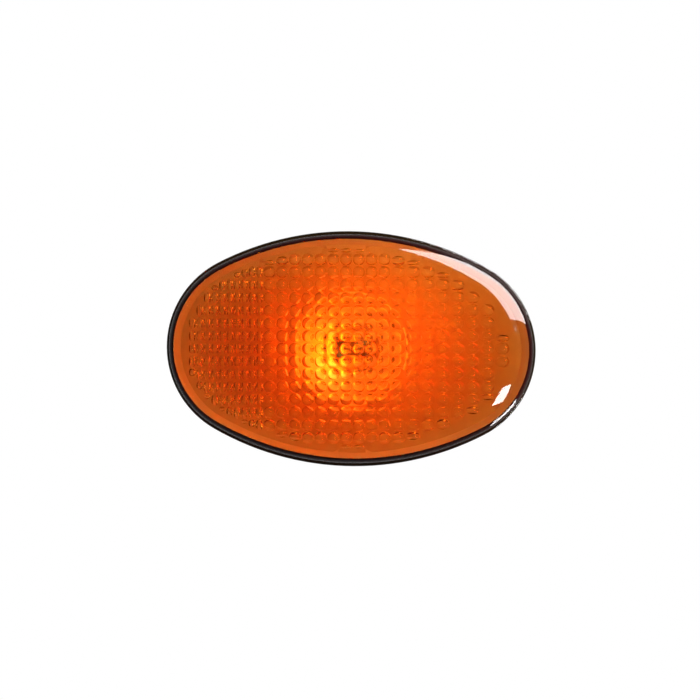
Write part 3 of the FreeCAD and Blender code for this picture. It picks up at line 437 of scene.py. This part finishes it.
# Studio: white to the camera and a dim room in mirrors; boxes marked matt light the colours,
# boxes marked gloss give the streaks on the lens
studio = {
    "fill": 0.35, "front": 0.05, "behind": 0.3, "surround": 0.35,
    "boxes": [
        {"at": (0.307, -0.116, 0.307), "size": (0.42, 0.42), "radiance": 13.0, "matt": False, "gloss": True},
        {"at": (0.185, -0.193, -0.118), "size": (0.06, 0.06), "radiance": 24.0, "matt": False, "gloss": True},
        {"at": (0.150, 0.034, -0.127), "size": (0.07, 0.07), "radiance": 14.0, "matt": False, "gloss": True},
        {"at": (-0.340, -0.300, 0.120), "size": (0.30, 0.30), "radiance": 5.5, "matt": True, "gloss": False},
        {"at": (-0.300, 0.340, 0.340), "size": (0.30, 0.30), "radiance": 6.0, "matt": True, "gloss": False},
    ],
    "aim": (-0.005, 0.0, 0.0), "reach": 9.5, "radius": 0.008,
    "spots": [
        {"at": (0.330, -0.290, 0.090), "power": 130.0},
        {"at": (0.270, -0.300, 0.200), "power": 34.0},
        {"at": (0.310, -0.300, -0.110), "power": 66.0},
    ],
    "beamEdge": 0.3, "backdropFrom": 0.6, "floorLevel": -0.16, "floorSize": 0.6, "paper": "#f2f2f2",
}
world = bpy.data.worlds.new("studio")
scene.world = world
world.use_nodes = True
tree = world.node_tree
tree.nodes.clear()
path = addNode(tree, "ShaderNodeLightPath")
where = addNode(tree, "ShaderNodeTexCoord")
axes = addNode(tree, "ShaderNodeSeparateXYZ", None, {0: where.outputs["Generated"]})
mirrored = addNode(tree, "ShaderNodeMapRange", {     # the camera's side of the room is dark, the backdrop is pale
    "interpolation_type": "SMOOTHSTEP", "From Min": 0.0, "From Max": studio["backdropFrom"],
    "To Min": studio["front"], "To Max": studio["behind"]}, {"Value": axes.outputs["Y"]})
plain = addNode(tree, "ShaderNodeMix", {"A": studio["fill"]},
                {"Factor": path.outputs["Is Glossy Ray"], "B": mirrored.outputs["Result"]})
through = addNode(tree, "ShaderNodeMix", {"B": studio["surround"]},
                  {"Factor": path.outputs["Is Transmission Ray"], "A": plain.outputs[0]})
level = addNode(tree, "ShaderNodeMix", {"B": 1.0},
                {"Factor": path.outputs["Is Camera Ray"], "A": through.outputs[0]})
sky = addNode(tree, "ShaderNodeBackground", {"Color": (1, 1, 1, 1)}, {"Strength": level.outputs[0]})
addNode(tree, "ShaderNodeOutputWorld", None, {"Surface": sky.outputs[0]})

for number, box in enumerate(studio["boxes"]):
    data = bpy.data.lights.new(f"softbox{number}", "AREA")
    data.shape = "RECTANGLE"
    data.size, data.size_y = box["size"]
    data.energy = box["radiance"] * math.pi * box["size"][0] * box["size"][1]
    lamp = bpy.data.objects.new(f"softbox{number}", data)
    lamp.location = box["at"]
    lamp.rotation_euler = (-Vector(box["at"])).to_track_quat("-Z", "Y").to_euler()
    lamp.visible_camera = False
    lamp.visible_diffuse = box["matt"]
    lamp.visible_glossy = box["gloss"]
    lamp.visible_transmission = box["gloss"]
    scene.collection.objects.link(lamp)

for number, spot in enumerate(studio["spots"]):          # narrow beams into the reflector's bowl
    data = bpy.data.lights.new(f"beam{number}", "SPOT")
    data.energy = spot["power"]
    data.shadow_soft_size = studio["radius"]
    beam = Vector(studio["aim"]) - Vector(spot["at"])
    data.spot_size = 2 * math.atan(studio["reach"] * mm / beam.length)
    data.spot_blend = studio["beamEdge"]
    lamp = bpy.data.objects.new(f"beam{number}", data)
    lamp.location = spot["at"]
    lamp.rotation_euler = beam.to_track_quat("-Z", "Y").to_euler()
    lamp.visible_camera = False
    lamp.visible_diffuse = False                         # matt colours stay as written
    scene.collection.objects.link(lamp)

half = studio["floorSize"]
floorMesh = bpy.data.meshes.new("floor")
floorMesh.from_pydata([(-half, -half, studio["floorLevel"]), (half, -half, studio["floorLevel"]),
                       (half, half, studio["floorLevel"]), (-half, half, studio["floorLevel"])], [], [(0, 1, 2, 3)])
floor = bpy.data.objects.new("floor", floorMesh)
scene.collection.objects.link(floor)
paper, tree = newMaterial("white_paper_matt")
path = addNode(tree, "ShaderNodeLightPath")
paint = addNode(tree, "ShaderNodeBsdfDiffuse", {"Color": linear(studio["paper"])})
glow = addNode(tree, "ShaderNodeEmission", {"Color": (1, 1, 1, 1), "Strength": 1.0})
mixed = addNode(tree, "ShaderNodeMixShader", None,
                {0: path.outputs["Is Camera Ray"], 1: paint.outputs[0], 2: glow.outputs[0]})
addNode(tree, "ShaderNodeOutputMaterial", None, {"Surface": mixed.outputs[0]})
dress(floor, paper)
floor.visible_glossy = False

view = {"distance": 470.0, "planeForward": 3.2, "width": 140.0, "sensor": 36.0, "aside": -0.24, "up": -0.26}
cameraData = bpy.data.cameras.new("camera")
cameraData.sensor_width = view["sensor"]
cameraData.lens = view["sensor"] * view["distance"] / view["width"]
camera = bpy.data.objects.new("camera", cameraData)
camera.location = (view["aside"] * mm, -(view["distance"] + view["planeForward"]) * mm, view["up"] * mm)
camera.rotation_euler = (math.pi / 2, 0, 0)
scene.collection.objects.link(camera)
scene.camera = camera
print("studio and camera done")
